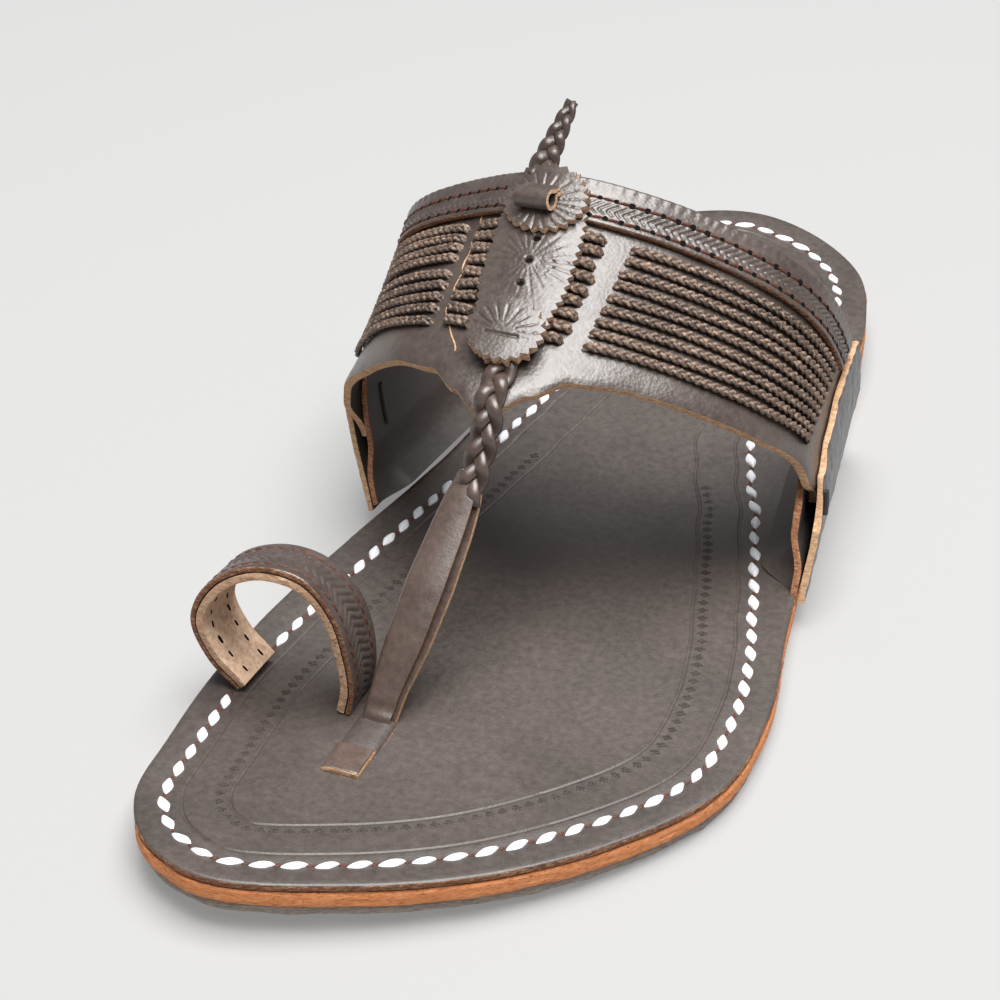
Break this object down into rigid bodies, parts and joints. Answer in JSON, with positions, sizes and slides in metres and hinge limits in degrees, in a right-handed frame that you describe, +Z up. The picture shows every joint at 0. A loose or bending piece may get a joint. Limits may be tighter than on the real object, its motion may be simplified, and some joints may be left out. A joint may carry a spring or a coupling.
{
  "type": "kolhapuri sandal",
  "caption": "Left leather kolhapuri sandal: flat layered sole, low stacked heel, arched instep band with laced cords and leaf applique, toe strap and big toe ring.",
  "frame": {"origin": "under the middle of the sandal's box, on the floor it stands on", "axes": "+Z up, toe towards -Y, heel towards +Y, the wearer's outer side towards +X, big toe towards -X"},
  "size_m": [0.111, 0.2788, 0.0976],
  "materials": {
    "dark_leather": "dark brown vegetable tanned leather, fine grain, soft sheen",
    "tan_sole_leather": "orange tan cut sole leather, fibrous edge",
    "grey_sole_leather": "grey brown rough sole leather, fibrous lower edge",
    "cord_leather": "thin plaited leather cord, brown with lighter ridges",
    "raw_leather": "natural undyed leather: cut edges and the lining of the toe ring",
    "white_lace": "flat white lace of the running stitch round the sole",
    "dark_thread": "dark reddish brown sewing thread"
  },
  "bodies": {
    "root": {"outsole": "grey_sole_leather", "midsole": "tan_sole_leather", "heel_lift": "tan_sole_leather", "insole": "dark_leather", "upper": "dark_leather", "ear_inner_side_outer_layer": "dark_leather", "ear_inner_side_inner_layer": "dark_leather", "ear_outer_side_outer_layer": "dark_leather", "ear_outer_side_inner_layer": "dark_leather", "rear_border": "dark_leather", "applique_leaf": "dark_leather", "applique_rosette_top": "dark_leather", "applique_rosette_bottom": "dark_leather", "rolled_loop": "dark_leather", "braided_tip": "dark_leather", "toe_ring": "dark_leather", "toe_strap_end": "dark_leather", "cord_inner_1": "cord_leather", "cord_inner_2": "cord_leather", "cord_inner_3": "cord_leather", "cord_inner_4": "cord_leather", "cord_inner_5": "cord_leather", "cord_inner_6": "cord_leather", "cord_inner_7": "cord_leather", "cord_inner_8": "cord_leather", "cord_inner_9": "cord_leather", "cord_outer_1": "cord_leather", "cord_outer_2": "cord_leather", "cord_outer_3": "cord_leather", "cord_outer_4": "cord_leather", "cord_outer_5": "cord_leather", "cord_outer_6": "cord_leather", "cord_outer_7": "cord_leather", "cord_outer_8": "cord_leather", "cord_outer_9": "cord_leather"}
  },
  "joints": []
}
